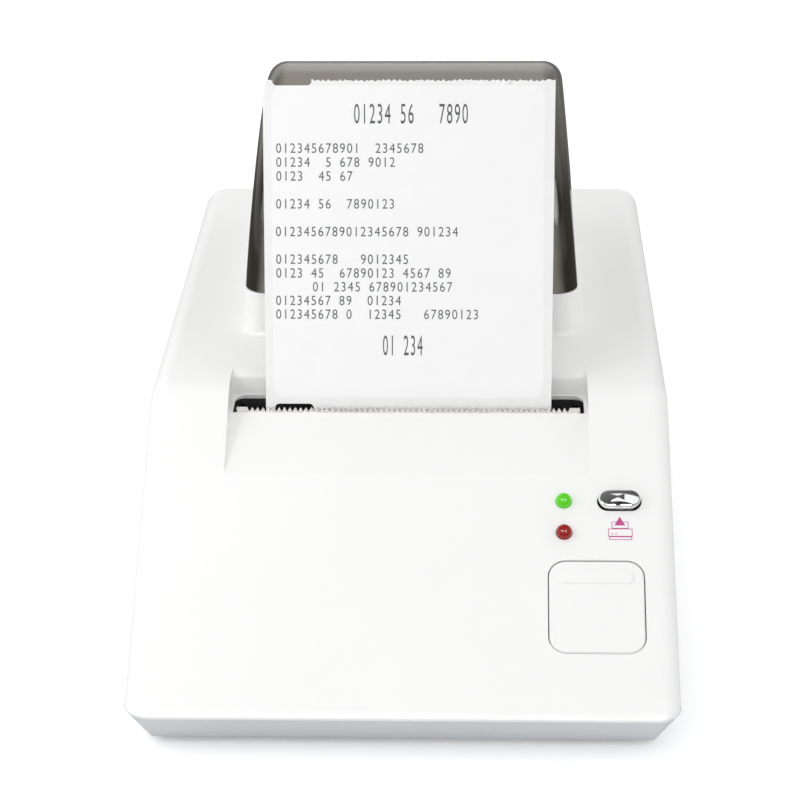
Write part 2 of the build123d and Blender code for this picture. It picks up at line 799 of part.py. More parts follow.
def head_springs():
    """Torsion springs round the pivot rod, as plain sleeves with a leg each."""
    springs = []
    bore = PIVOT_R + SPRING_GAP
    for side in (-1, 1):
        low = side * SPRING_X - SPRING_LONG / 2
        sleeve = rod_x(PIVOT_Y, PIVOT_Z, bore + SPRING_WIRE, low, low + SPRING_LONG)
        sleeve -= rod_x(PIVOT_Y, PIVOT_Z, bore, -BIG, BIG)
        leg_y = PIVOT_Y - bore - SPRING_WIRE
        leg = block(low, low + SPRING_WIRE, leg_y, leg_y + SPRING_WIRE, CHASSIS_Z + PLATE, PIVOT_Z)
        springs.append(sleeve + leg)
    return Compound(children=springs)


def idler_centre():
    reach = (PLATEN_TEETH + IDLER_TEETH) * GEAR_MODULE / 2
    py, pz = platen_centre()
    a = radians(IDLER_ANGLE)
    return py + reach * cos(a), pz + reach * sin(a)


def motor_centre():
    reach = (IDLER_TEETH + PINION_TEETH) * GEAR_MODULE / 2
    y, z = idler_centre()
    a = radians(PINION_ANGLE)
    return y + reach * cos(a), z + reach * sin(a)


def chassis():
    """Folded steel frame that carries platen, head, gears and motor."""
    py, pz = platen_centre()
    iy, iz = idler_centre()
    my, mz = motor_centre()
    base = block(-CHASSIS_HALF - PLATE, CHASSIS_HALF + PLATE, CHASSIS_FRONT, CHASSIS_REAR,
                 CHASSIS_Z, CHASSIS_Z + PLATE)
    wall = polygon(
        (CHASSIS_FRONT, CHASSIS_Z),
        (CHASSIS_FRONT, PIVOT_Z + PIVOT_LAND),
        (py - BUSH_REACH - 2, pz - PIVOT_LAND),
        (py - BUSH_REACH, pz + BUSH_LAND),
        (py + BUSH_REACH, pz + BUSH_LAND),
        (iy + IDLER_LAND, iz + BUSH_REACH),
        (CHASSIS_REAR, mz + MOTOR_LAND),
        (CHASSIS_REAR, CHASSIS_Z),
    )
    frame = base
    for x in (-CHASSIS_HALF - PLATE, CHASSIS_HALF):
        frame += prism_x(wall, x, x + PLATE)
    frame -= rod_x(py, pz, BUSH_R + PRESS_GAP, -BIG, BIG)
    frame -= rod_x(PIVOT_Y, PIVOT_Z, PIVOT_R + RUN_GAP, -BIG, BIG)
    frame -= rod_x(my, mz, MOTOR_HOLE_R, -BIG, 0)
    x_out = -CHASSIS_HALF - PLATE
    frame += rod_x(iy, iz, IDLER_POST_R, x_out - GEAR_GAP - GEAR_WIDTH - BUSH_LIP, x_out)
    for x, y in post_places():
        if y < CHASSIS_REAR:
            frame -= Pos(x, y, 0) * extrude(Circle(SCREW_R), BIG / 8)
    return frame


def platen_bushes():
    py, pz = platen_centre()
    bushes = []
    for side in (-1, 1):
        low = side * (CHASSIS_HALF + PLATE / 2) - PLATE / 2 - BUSH_LIP
        bush = rod_x(py, pz, BUSH_R, low, low + PLATE + 2 * BUSH_LIP)
        bushes.append(bush - rod_x(py, pz, PLATEN_SHAFT_R + RUN_GAP, -BIG, BIG))
    return Compound(children=bushes)


def platen_shaft():
    py, pz = platen_centre()
    left = -CHASSIS_HALF - PLATE - GEAR_GAP - GEAR_WIDTH - ROD_PROUD
    return rod_x(py, pz, PLATEN_SHAFT_R, left, CHASSIS_HALF + PLATE + BUSH_LIP + ROD_PROUD)


def platen_roller():
    py, pz = platen_centre()
    half = PLATEN_LENGTH / 2
    rubber = rod_x(py, pz, PLATEN_R, -half, half)
    return rubber - rod_x(py, pz, PLATEN_SHAFT_R + PRESS_GAP, -BIG, BIG)


def gear(centre, teeth, bore, phase):
    """Spur gear with straight-sided teeth; one tooth points along phase, in degrees."""
    pitch_r = teeth * GEAR_MODULE / 2
    root_r = pitch_r - 1.25 * GEAR_MODULE
    tip_r = pitch_r + 0.85 * GEAR_MODULE
    step = 2 * pi / teeth
    points = []
    for number in range(teeth):
        middle = radians(phase) + number * step
        for radius, share in ((root_r, -0.29), (tip_r, -0.1), (tip_r, 0.1), (root_r, 0.29)):
            turn = middle + share * step
            points.append((radius * cos(turn), radius * sin(turn)))
    x_out = -CHASSIS_HALF - PLATE - GEAR_GAP
    wheel = prism_x(Pos(*centre) * polygon(*points), x_out - GEAR_WIDTH, x_out)
    return wheel - rod_x(*centre, bore, -BIG, BIG)


def mesh_phase(teeth, toward):
    """Phase that puts a tooth gap, not a tooth, on the line towards a neighbour."""
    return toward + 180.0 / teeth


def platen_gear():
    return gear(platen_centre(), PLATEN_TEETH, PLATEN_SHAFT_R + PRESS_GAP, IDLER_ANGLE)


def idler_phase():
    return mesh_phase(IDLER_TEETH, IDLER_ANGLE + 180.0)


def idler_gear():
    return gear(idler_centre(), IDLER_TEETH, IDLER_POST_R + RUN_GAP, idler_phase())


def motor_pinion():
    """Pinion with its own stub of motor shaft."""
    step = 360.0 / IDLER_TEETH
    offset_teeth = (PINION_ANGLE - idler_phase()) / step
    lag = (offset_teeth - round(offset_teeth)) * step
    toward = PINION_ANGLE + 180.0
    phase = toward + 180.0 / PINION_TEETH + lag * IDLER_TEETH / PINION_TEETH
    my, mz = motor_centre()
    wheel = gear((my, mz), PINION_TEETH, 0.4, phase)
    x_out = -CHASSIS_HALF - PLATE - GEAR_GAP - GEAR_WIDTH
    return wheel + rod_x(my, mz, MOTOR_SHAFT_R, x_out, -CHASSIS_HALF + MOTOR_SHAFT_IN)


def stepper_motor():
    my, mz = motor_centre()
    can = rod_x(my, mz, MOTOR_R, -CHASSIS_HALF, -CHASSIS_HALF + MOTOR_LENGTH)
    ears = Pos(my, mz) * SlotOverall(2 * MOTOR_R + MOTOR_EARS, MOTOR_EAR_WIDE)
    can += prism_x(ears, -CHASSIS_HALF, -CHASSIS_HALF + MOTOR_EAR_THICK)
    return can - rod_x(my, mz, MOTOR_SHAFT_R + RUN_GAP, -BIG, -CHASSIS_HALF + MOTOR_SHAFT_IN + BODY_GAP)


def gap_sensor():
    """Reflective eye under the paper, on a bracket that stands on the chassis."""
    angle = roll_line()
    py, pz = platen_centre()
    radius = PLATEN_R + BODY_GAP + WEB_THICK + EYE_GAP
    y = py + radius * sin(angle) + EYE_RUN * cos(angle)
    top = pz - radius * cos(angle) + EYE_RUN * sin(angle) - EYE_DROP
    low = top - EYE_TALL
    half = EYE_WIDE / 2
    eye = block(EYE_X - half, EYE_X + half, y - EYE_DEEP / 2, y + EYE_DEEP / 2, low, top)
    foot = EYE_STAND_WIDE / 2
    thin = EYE_STAND_THICK / 2
    return eye + block(EYE_X - foot, EYE_X + foot, y - thin, y + thin, CHASSIS_Z + PLATE, low)


def roll_cradle():
    """Two cheeks with open bearings for the spool, and the trough behind the roll."""
    half = HOOD_HALF - COLLAR_WALL - FIT_GAP
    outer_r = CRADLE_R + CRADLE_WALL
    cheek = Pos(ROLL_Y, ROLL_Z) * Circle(outer_r)
    cheek -= Pos(ROLL_Y, ROLL_Z + BIG / 2) * Rectangle(BIG, BIG)
    cheek += Pos(ROLL_Y, (ROLL_Z + CHEEK_TOP) / 2) * Rectangle(2 * outer_r, CHEEK_TOP - ROLL_Z)
    slot = Pos(ROLL_Y, ROLL_Z) * Circle(JOURNAL_R + RUN_GAP)
    slot += Pos(ROLL_Y, ROLL_Z + 5) * Rectangle(2 * (JOURNAL_R + RUN_GAP), 10)
    cheek -= slot
    body = prism_x(cheek, half - CHEEK_WALL, half) + prism_x(cheek, -half, CHEEK_WALL - half)
    trough = Pos(ROLL_Y, ROLL_Z) * (Circle(outer_r) - Circle(CRADLE_R))
    trough -= Pos(ROLL_Y, ROLL_Z + BIG / 2) * Rectangle(BIG, BIG)
    trough -= Pos(CRADLE_FRONT - BIG / 2, ROLL_Z) * Rectangle(BIG, BIG)
    return body + prism_x(trough, -half, half)


def spool():
    """Spindle with a fixed flange at the left and a journal at each end."""
    half = WEB_WIDTH / 2 + BODY_GAP
    end = HOOD_HALF - COLLAR_WALL - FIT_GAP
    body = rod_x(ROLL_Y, ROLL_Z, CORE_R - SPOOL_GAP, -half, half)
    body += rod_x(ROLL_Y, ROLL_Z, FLANGE_R, -half - FLANGE_THICK, -half)
    body += rod_x(ROLL_Y, ROLL_Z, JOURNAL_R, -end, end)
    return body


def spool_flange():
    """Loose flange pushed on at the right to hold the roll."""
    low = WEB_WIDTH / 2 + BODY_GAP
    disc = rod_x(ROLL_Y, ROLL_Z, FLANGE_R, low, low + FLANGE_THICK)
    return disc - rod_x(ROLL_Y, ROLL_Z, JOURNAL_R + PRESS_GAP, -BIG, BIG)


def roll_core():
    half = WEB_WIDTH / 2
    tube = rod_x(ROLL_Y, ROLL_Z, CORE_R + CORE_WALL, -half, half)
    return tube - rod_x(ROLL_Y, ROLL_Z, CORE_R, -BIG, BIG)


def label_roll():
    half = WEB_WIDTH / 2
    paper = rod_x(ROLL_Y, ROLL_Z, ROLL_R, -half, half)
    return paper - rod_x(ROLL_Y, ROLL_Z, CORE_R + CORE_WALL + PRESS_GAP, -BIG, BIG)


def led(up):
    """Round light with a domed top, standing on the small board."""
    top = LED_RISE - LED_R
    low = -PANEL_DROP
    points = [(0, low), (LED_R, low), (LED_R, top), (0, top)]
    body = revolve(Plane.XZ * polygon(*points), Axis.Z)
    body += Pos(0, 0, top) * Sphere(LED_R)
    return on_face(LED_X, up) * body


def feed_button():
    """Domed metal-look pill with a catch flange and a stem over the switch."""
    pill = SlotOverall(FEED_LENGTH, FEED_WIDTH)
    low = WALL + BODY_GAP
    cap = extrude(Pos(0, 0, -low) * pill, low + FEED_RISE)
    cap = fillet(cap.faces().sort_by(Axis.Z)[-1].edges(), FEED_ROUND)
    catch = SlotOverall(FEED_LENGTH + 2 * CATCH, FEED_WIDTH + 2 * CATCH)
    cap += extrude(Pos(0, 0, -low) * catch, -FEED_CATCH_THICK)
    stem = Rectangle(FEED_STEM, FEED_STEM)
    cap += extrude(Pos(0, 0, -low) * stem, -(switch_top() - low))
    return on_face(FEED_X, FEED_UP) * cap


def switch_top():
    """Depth under the front face at which the switch's body starts, less its travel."""
    return PANEL_DROP - SWITCH_TALL


def panel_board():
    """Small board behind the lights and the feed button, with its switch."""
    x_low = LED_X - PANEL_LEFT
    x_high = FEED_X + PANEL_RIGHT
    up_low = RED_UP - PANEL_BELOW
    up_high = GREEN_UP + PANEL_ABOVE
    face = Pos((x_low + x_high) / 2, 0) * Rectangle(x_high - x_low, up_high - up_low)
    return extrude(on_face(0, (up_low + up_high) / 2, PANEL_DROP) * face, -BOARD_THICK)


def feed_switch():
    tall = PANEL_DROP - switch_top() - FEED_TRAVEL - SWITCH_GAP
    return extrude(on_face(FEED_X, FEED_UP, PANEL_DROP) * Rectangle(SWITCH_SIZE, SWITCH_SIZE), tall)


def panel_posts():
    """Two posts that hang the small board from the inside of the front."""
    posts = []
    for up in (GREEN_UP + PANEL_POST_UP, RED_UP - PANEL_POST_DOWN):
        place = on_face(LED_X + PANEL_POST_RIGHT, up, PANEL_DROP)
        posts.append(extrude(place * Circle(PANEL_POST_R), PANEL_DROP - WALL))
    return Compound(children=posts)


def release_key():
    """Square key, flush with the front, with a raised grip bar and a push stem."""
    plate = extrude(RectangleRounded(KEY_WIDTH, KEY_HEIGHT, KEY_ROUND), -KEY_THICK)
    plate = chamfer(plate.faces().sort_by(Axis.Z)[-1].edges(), 0.3)
    low = WALL + BODY_GAP
    skirt = RectangleRounded(KEY_WIDTH, KEY_HEIGHT, KEY_ROUND)
    plate += extrude(Pos(0, 0, -KEY_THICK) * skirt, -(low - KEY_THICK))
    flange = RectangleRounded(KEY_WIDTH + 2 * CATCH, KEY_HEIGHT + 2 * CATCH, KEY_ROUND + CATCH)
    plate += extrude(Pos(0, 0, -low) * flange, -CATCH_THICK)
    grip = extrude(Pos(0, BAR_UP, -0.2) * SlotOverall(BAR_X, BAR_Y), BAR_PROUD + 0.2)
    grip = fillet(grip.faces().sort_by(Axis.Z)[-1].edges(), BAR_PROUD * 0.8)
    plate += grip
    stem = Rectangle(2 * STEM_HALF, 2 * STEM_HALF)
    plate += extrude(Pos(ARM_X - KEY_X, 0, -low) * stem, -(STEM_DEPTH - low))
    return on_face(KEY_X, KEY_UP) * plate


def main_board():
    half = CHASSIS_HALF + BOARD_OVER
    rear = CASE_DEPTH - 2 * WALL - 0.5
    board = block(-half, half, MAIN_BOARD_FRONT, rear, CHASSIS_Z, CHASSIS_Z + BOARD_THICK)
    return board


def board_parts():
    """The tallest parts on the main board: two capacitors, a chip and a connector."""
    low = CHASSIS_Z + BOARD_THICK
    pieces = []
    for x in (CAN_X - CAN_STEP / 2, CAN_X + CAN_STEP / 2):
        pieces.append(Pos(x, CASE_DEPTH - CAN_IN_Y, low) * extrude(Circle(CAN_R), CAN_TALL))
    chip = Box(CHIP_SIZE, CHIP_SIZE, CHIP_TALL)
    pieces.append(Pos(CHIP_X, MAIN_BOARD_FRONT + CHIP_BACK, low + CHIP_TALL / 2) * chip)
    plug = Box(PLUG_WIDE, PLUG_DEEP, PLUG_TALL)
    pieces.append(Pos(PLUG_X, MAIN_BOARD_FRONT + PLUG_BACK, low + PLUG_TALL / 2) * plug)
    return Compound(children=pieces)


def socket_body(x, width, height, depth):
    """Block on the main board whose mouth stands in the back wall."""
    low = JACK_Z - JACK_SIZE / 2
    rear = CASE_DEPTH - 0.5
    left = x - width / 2
    body = block(left, left + width, rear - depth, rear, low, low + height)
    foot_rear = CASE_DEPTH - 2 * WALL - 1
    return body + block(left, left + width, rear - depth, foot_rear, CHASSIS_Z + BOARD_THICK, low)


def power_jack():
    """Round socket for the power supply, with its centre pin."""
    rear = CASE_DEPTH - 0.5
    body = socket_body(JACK_X, JACK_SIZE, JACK_SIZE, JACK_DEPTH)
    bore = Plane.XZ.offset(-rear - 1) * Pos(JACK_X, JACK_Z) * Circle(JACK_BORE)
    pin = Plane.XZ.offset(-rear + 1.5) * Pos(JACK_X, JACK_Z) * Circle(JACK_PIN)
    return body - extrude(bore, 10) + extrude(pin, 9)


def data_port():
    """Square socket for the data lead, with its tongue."""
    rear = CASE_DEPTH - 0.5
    body = socket_body(PORT_X, PORT_WIDTH, PORT_HEIGHT, PORT_DEPTH)
    middle = JACK_Z - JACK_SIZE / 2 + PORT_HEIGHT / 2
    hole = Plane.XZ.offset(-rear - 1) * Pos(PORT_X, middle) * Rectangle(PORT_HOLE, PORT_HOLE - 0.8)
    tongue = Plane.XZ.offset(-rear + 1.5) * Pos(PORT_X, middle - 1.2) * Rectangle(5.6, 1.8)
    return body - extrude(hole, 11) + extrude(tongue, 10)


PIECES = {
    "upper_case": upper_case,
    "lower_case": lower_case,
    "rubber_feet": rubber_feet,
    "case_screws": case_screws,
    "roll_cover": roll_cover,
    "hinge_pins": hinge_pins,
    "slot_guide": slot_guide,
    "tear_bar": tear_bar,
    "liner_web": liner_web,
    "label_face": label_face,
    "print_head": print_head,
    "head_sink": head_sink,
    "head_pivot": head_pivot,
    "release_arm": release_arm,
    "head_springs": head_springs,
    "chassis": chassis,
    "platen_bushes": platen_bushes,
    "platen_shaft": platen_shaft,
    "platen_roller": platen_roller,
    "platen_gear": platen_gear,
    "idler_gear": idler_gear,
    "motor_pinion": motor_pinion,
    "stepper_motor": stepper_motor,
    "gap_sensor": gap_sensor,
    "roll_cradle": roll_cradle,
    "spool": spool,
    "spool_flange": spool_flange,
    "roll_core": roll_core,
    "label_roll": label_roll,
    "feed_button": feed_button,
    "feed_switch": feed_switch,
    "panel_board": panel_board,
    "panel_posts": panel_posts,
    "release_key": release_key,
    "main_board": main_board,
    "board_parts": board_parts,
    "power_jack": power_jack,
    "data_port": data_port,
}

os.makedirs("parts", exist_ok=True)
for node, make in PIECES.items():
    put_out(node, make())
put_out("green_light", led(GREEN_UP))
put_out("red_light", led(RED_UP))
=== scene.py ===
import random
from math import cos, radians, sin

import bpy
from mathutils import Matrix, Vector


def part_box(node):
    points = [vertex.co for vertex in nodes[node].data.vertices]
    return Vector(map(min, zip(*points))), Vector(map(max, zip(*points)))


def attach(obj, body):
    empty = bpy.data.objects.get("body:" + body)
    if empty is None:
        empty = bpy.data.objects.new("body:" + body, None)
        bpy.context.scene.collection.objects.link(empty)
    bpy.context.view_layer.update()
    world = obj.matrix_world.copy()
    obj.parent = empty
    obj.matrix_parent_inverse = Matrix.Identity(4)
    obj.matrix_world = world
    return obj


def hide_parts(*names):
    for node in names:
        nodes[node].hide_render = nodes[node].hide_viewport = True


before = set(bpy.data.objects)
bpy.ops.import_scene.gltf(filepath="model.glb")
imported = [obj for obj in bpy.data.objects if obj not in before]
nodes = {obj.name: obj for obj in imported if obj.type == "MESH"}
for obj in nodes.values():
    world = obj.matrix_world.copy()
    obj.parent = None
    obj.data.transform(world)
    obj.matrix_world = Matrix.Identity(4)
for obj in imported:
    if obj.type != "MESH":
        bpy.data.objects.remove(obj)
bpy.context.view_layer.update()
bpy.ops.object.select_all(action="DESELECT")
bpy.context.scene.view_settings.view_transform = "Standard"


# Camera: a long lens 45 cm in front of the printer and 32 cm above the table, looking down on
# the sloping front. Its place and turn come from the edges and corners in the photograph.
LENS_PLACE = (0.01768, -0.54702, 0.31868)
LENS_DOWN = radians(27.539)
LENS_SIDE = radians(-2.148)
LENS_ROLL = radians(-0.791)
FOCAL_LENGTH = 121.23

ahead = Vector((sin(LENS_SIDE) * cos(LENS_DOWN), cos(LENS_SIDE) * cos(LENS_DOWN), -sin(LENS_DOWN)))
level = Vector((cos(LENS_SIDE), -sin(LENS_SIDE), 0))
lift = level.cross(ahead)
across = level * cos(LENS_ROLL) + lift * sin(LENS_ROLL)
upward = lift * cos(LENS_ROLL) - level * sin(LENS_ROLL)
lens = bpy.data.cameras.new("studio_camera")
lens.lens = FOCAL_LENGTH
lens.sensor_width = 36
lens.clip_start = 0.01
lens.clip_end = 20
camera = bpy.data.objects.new("studio_camera", lens)
bpy.context.scene.collection.objects.link(camera)
camera.matrix_world = Matrix((across, upward, -ahead)).transposed().to_4x4()
camera.location = LENS_PLACE
bpy.context.scene.camera = camera


# Table and light: a white sheet of board in a white tent, and a small soft lamp at the left.
# Only mirrored rays see a darker table, the tent's black gaps overhead, its dim right and
# back, and its two bright windows. The chrome, the lights and the cover reflect them.
TABLE_SIZE = 8
TABLE_WHITE = 0.9
TABLE_MIRRORED = 0.15
TABLE_GLOW = 0.22


def feed(tree, source, socket):
    """Gives a socket its value: a number, a colour or another socket."""
    if isinstance(source, (int, float, tuple)):
        socket.default_value = source
    else:
        tree.links.new(source, socket)


def calc(tree, operation, first, second=0.0):
    """A Math node; each of its two sides is a socket or a number."""
    node = tree.nodes.new("ShaderNodeMath")
    node.operation = operation
    feed(tree, first, node.inputs[0])
    feed(tree, second, node.inputs[1])
    return node.outputs[0]


bpy.ops.mesh.primitive_plane_add(size=TABLE_SIZE)
table_top = bpy.context.object
table_top.name = "table_top"
board_white = bpy.data.materials.new("table_white")
board_white.use_nodes = True
tree = board_white.node_tree
tree.nodes.clear()
ray = tree.nodes.new("ShaderNodeLightPath").outputs
whiteness = tree.nodes.new("ShaderNodeMapRange")
whiteness.inputs["To Min"].default_value = TABLE_WHITE
whiteness.inputs["To Max"].default_value = TABLE_MIRRORED
tree.links.new(ray["Is Glossy Ray"], whiteness.inputs["Value"])
matt = tree.nodes.new("ShaderNodeBsdfDiffuse")
tree.links.new(whiteness.outputs["Result"], matt.inputs["Color"])
seen = calc(tree, "MAXIMUM", ray["Is Camera Ray"], ray["Is Transmission Ray"])
glow = tree.nodes.new("ShaderNodeEmission")
tree.links.new(calc(tree, "MULTIPLY", seen, TABLE_GLOW), glow.inputs["Strength"])
both = tree.nodes.new("ShaderNodeAddShader")
tree.links.new(matt.outputs[0], both.inputs[0])
tree.links.new(glow.outputs[0], both.inputs[1])
surface = tree.nodes.new("ShaderNodeOutputMaterial")
tree.links.new(both.outputs[0], surface.inputs["Surface"])
table_top.data.materials.append(board_white)

# The tent's edges, as shares of a ray's way to the right, the back or the top, and its light.
OVERHEAD = 0.35
GAP_BACK = 0.14
GAP_FRONT = -0.29
GAP_LEFT = -0.33
CORNER_LEFT = -0.50
CORNER_FRONT = -0.12
KNOT_SHIFT = 0.03
KNOT_HALF = 0.05
BOW_FLARE = 0.4
BOW_RIGHT = 0.27
DIM_RIGHT = 0.25
DIM_RIGHT_FRONT = -0.30
DIM_RIGHT_SHARE = 0.8
DIM_BACK = 0.6
DIM_BACK_SHARE = 0.45
MORE_AT_BACK = 0.13
MORE_AT_RIGHT = -0.06
PLAIN_LIGHT = 1.03
MIRRORED_LIGHT = 1.1
WINDOW_EDGE = 0.960
WINDOW_LIGHT = 9.0
WINDOWS = ((-0.44, 0.29, 0.84), (0.33, 0.25, 0.91))

tent = bpy.data.worlds.new("white_tent")
tent.use_nodes = True
bpy.context.scene.world = tent
canvas = tent.node_tree
backing = canvas.nodes["Background"]
backing.inputs["Color"].default_value = (1.0, 1.0, 1.0, 1)
ray = canvas.nodes.new("ShaderNodeLightPath").outputs
direction = canvas.nodes.new("ShaderNodeTexCoord").outputs["Generated"]
split = canvas.nodes.new("ShaderNodeSeparateXYZ")
canvas.links.new(direction, split.inputs[0])
to_right = split.outputs["X"]
to_back = split.outputs["Y"]


def over(value, edge):
    """1 where the value is over the edge, otherwise 0."""
    return calc(canvas, "GREATER_THAN", value, edge)


def under(value, edge):
    """1 where the value is under the edge, otherwise 0."""
    return calc(canvas, "LESS_THAN", value, edge)


def times(first, second):
    return calc(canvas, "MULTIPLY", first, second)


def most(first, second):
    return calc(canvas, "MAXIMUM", first, second)


def chosen(share, value, other):
    """The value where the share is 1, the other where it is 0."""
    rest = calc(canvas, "SUBTRACT", 1.0, share)
    return calc(canvas, "ADD", times(share, value), times(rest, other))


beside_knot = calc(canvas, "ABSOLUTE", calc(canvas, "ADD", to_right, KNOT_SHIFT))
behind_knot = calc(canvas, "ABSOLUTE", calc(canvas, "ADD", to_back, KNOT_SHIFT))
half_bow = calc(canvas, "ADD", times(beside_knot, BOW_FLARE), KNOT_HALF)
bow_tie = times(under(behind_knot, half_bow), under(to_right, BOW_RIGHT))
white_corner = times(under(to_right, CORNER_LEFT), under(to_back, CORNER_FRONT))
left_gap = calc(canvas, "SUBTRACT", under(to_right, GAP_LEFT), white_corner)
end_gaps = most(over(to_back, GAP_BACK), under(to_back, GAP_FRONT))
black = most(end_gaps, most(bow_tie, left_gap))
high = over(split.outputs["Z"], OVERHEAD)
low = calc(canvas, "SUBTRACT", 1.0, high)
right_side = times(over(to_right, DIM_RIGHT), over(to_back, DIM_RIGHT_FRONT))
far_back = times(over(to_back, DIM_BACK), DIM_BACK_SHARE)
dim = most(times(right_side, DIM_RIGHT_SHARE), far_back)
missing = most(times(high, black), times(low, dim))
slant = calc(canvas, "ADD", times(to_back, MORE_AT_BACK), times(to_right, MORE_AT_RIGHT))
even = calc(canvas, "ADD", 1.0, slant)
mirrored = calc(canvas, "SUBTRACT", times(even, MIRRORED_LIGHT), missing)
for side, up, back in WINDOWS:
    toward = side * across + up * upward - back * ahead
    facing = canvas.nodes.new("ShaderNodeVectorMath")
    facing.operation = "DOT_PRODUCT"
    facing.inputs[1].default_value = toward.normalized()
    canvas.links.new(direction, facing.inputs[0])
    mirrored = most(mirrored, times(over(facing.outputs["Value"], WINDOW_EDGE), WINDOW_LIGHT))
lit = chosen(ray["Is Glossy Ray"], mirrored, times(even, PLAIN_LIGHT))
canvas.links.new(chosen(ray["Is Camera Ray"], 1.0, lit), backing.inputs["Strength"])

LAMP_PLACE = Vector((-0.20, -0.13, 0.20))
LAMP_AIM = Vector((-0.09, -0.05, 0.02))
lamp = bpy.data.lights.new("lamp_left", "AREA")
lamp.size = 0.1
lamp.energy = 0.10
holder = bpy.data.objects.new("lamp_left", lamp)
bpy.context.scene.collection.objects.link(holder)
holder.location = LAMP_PLACE
holder.rotation_mode = "QUATERNION"
holder.rotation_quaternion = (LAMP_PLACE - LAMP_AIM).to_track_quat("Z", "Y")


# Upper case: one white injection-moulded shell, with a very fine spark-eroded skin that is
# only seen as a soft sheen. The square key is moulded in the same plastic and slides in it.
BROAD_PATCHES = 28.0
PATCH_DETAIL = 3.0
FINE_SHEEN = 0.12
BROAD_SHEEN = 0.10
NOISE_LOW = 0.3
NOISE_HIGH = 0.7


def effect(name, **values):
    """A shader node group that gives a colour, a roughness and a height, and what it is given."""
    group = bpy.data.node_groups.new(name, "ShaderNodeTree")
    for label, value in values.items():
        kind = "NodeSocketFloat" if isinstance(value, float) else "NodeSocketColor"
        socket = group.interface.new_socket(label, in_out="INPUT", socket_type=kind)
        socket.default_value = value
    group.interface.new_socket("Colour", in_out="OUTPUT", socket_type="NodeSocketColor")
    group.interface.new_socket("Roughness", in_out="OUTPUT", socket_type="NodeSocketFloat")
    group.interface.new_socket("Height", in_out="OUTPUT", socket_type="NodeSocketFloat")
    return group, group.nodes.new("NodeGroupInput").outputs


def give(group, colour, roughness, height):
    """Joins an effect's three results to what it gives."""
    made = group.nodes.new("NodeGroupOutput")
    group.links.new(colour, made.inputs["Colour"])
    group.links.new(roughness, made.inputs["Roughness"])
    group.links.new(height, made.inputs["Height"])


def on_piece(tree):
    """Coordinates on the piece itself, in metres."""
    return tree.nodes.new("ShaderNodeTexCoord").outputs["Object"]


def grain(tree, scale, detail=2.0, stretch=None):
    """A noise on the piece's own coordinates, its scale a socket or a number per metre."""
    where = on_piece(tree)
    if stretch:
        mapping = tree.nodes.new("ShaderNodeMapping")
        mapping.inputs["Scale"].default_value = stretch
        tree.links.new(where, mapping.inputs["Vector"])
        where = mapping.outputs["Vector"]
    noise = tree.nodes.new("ShaderNodeTexNoise")
    noise.inputs["Detail"].default_value = detail
    tree.links.new(where, noise.inputs["Vector"])
    feed(tree, scale, noise.inputs["Scale"])
    return noise.outputs["Fac"]


def tone(tree, colour, mask, darkest, low=NOISE_LOW, high=NOISE_HIGH):
    """The colour, taken down to darkest times itself where the mask is low."""
    share = tree.nodes.new("ShaderNodeMapRange")
    share.inputs["From Min"].default_value = low
    share.inputs["From Max"].default_value = high
    share.inputs["To Max"].default_value = 1.0
    feed(tree, darkest, share.inputs["To Min"])
    tree.links.new(mask, share.inputs["Value"])
    scaled = tree.nodes.new("ShaderNodeVectorMath")
    scaled.operation = "SCALE"
    tree.links.new(colour, scaled.inputs[0])
    tree.links.new(share.outputs["Result"], scaled.inputs["Scale"])
    return scaled.outputs["Vector"]


def raised(tree, value, mask, amount):
    """The value, and as much of the amount as the mask says on top of it."""
    return calc(tree, "ADD", value, calc(tree, "MULTIPLY", mask, amount))


def varied(tree, value, mask, amount):
    """The value, raised where the mask is over a half and lowered where it is under."""
    return raised(tree, value, calc(tree, "SUBTRACT", mask, 0.5), amount)


def finish(name, group, depth, fixed, **values):
    """A material: one Principled shader, one effect for its colour, roughness and relief."""
    material = bpy.data.materials.new(name)
    material.use_nodes = True
    tree = material.node_tree
    shader = tree.nodes["Principled BSDF"]
    for label, value in fixed.items():
        shader.inputs[label].default_value = value
    skin = tree.nodes.new("ShaderNodeGroup")
    skin.name = "skin"
    skin.node_tree = group
    for label, value in values.items():
        skin.inputs[label].default_value = value
    relief = tree.nodes.new("ShaderNodeBump")
    relief.name = "relief"
    relief.inputs["Strength"].default_value = 1.0
    relief.inputs["Distance"].default_value = depth
    tree.links.new(skin.outputs["Colour"], shader.inputs["Base Color"])
    tree.links.new(skin.outputs["Roughness"], shader.inputs["Roughness"])
    tree.links.new(skin.outputs["Height"], relief.inputs["Height"])
    tree.links.new(relief.outputs["Normal"], shader.inputs["Normal"])
    return material


def dress(material, *names):
    """Gives CAD nodes a finish."""
    for name in names:
        for place in nodes[name].material_slots:
            place.material = material


moulded_skin, given = effect(
    "moulded_skin", Colour=(0.8, 0.8, 0.8, 1), Roughness=0.4, Grain=2500.0, Darkest=0.97
)
fine = grain(moulded_skin, given["Grain"])
broad = grain(moulded_skin, BROAD_PATCHES, PATCH_DETAIL)
sheen = varied(moulded_skin, given["Roughness"], fine, FINE_SHEEN)
give(
    moulded_skin,
    tone(moulded_skin, given["Colour"], broad, given["Darkest"]),
    varied(moulded_skin, sheen, broad, BROAD_SHEEN),
    fine,
)
white_case = finish(
    "white_case", moulded_skin, depth=0.000004, fixed={"IOR": 1.5},
    Colour=(0.91, 0.91, 0.905, 1), Roughness=0.38, Grain=2600.0, Darkest=0.985,
)
dress(white_case, "upper_case", "release_key")


# Lower case: the shallow pale grey tray under the parting line, moulded with a slightly
# coarser skin and screwed to the upper half from below. The small board's two posts, which
# hang from the inside of the front, have the same grey.
grey_case = finish(
    "grey_case", moulded_skin, depth=0.000008, fixed={"IOR": 1.5},
    Colour=(0.71, 0.73, 0.755, 1), Roughness=0.45, Grain=1900.0, Darkest=0.95,
)
dress(grey_case, "lower_case", "panel_posts")


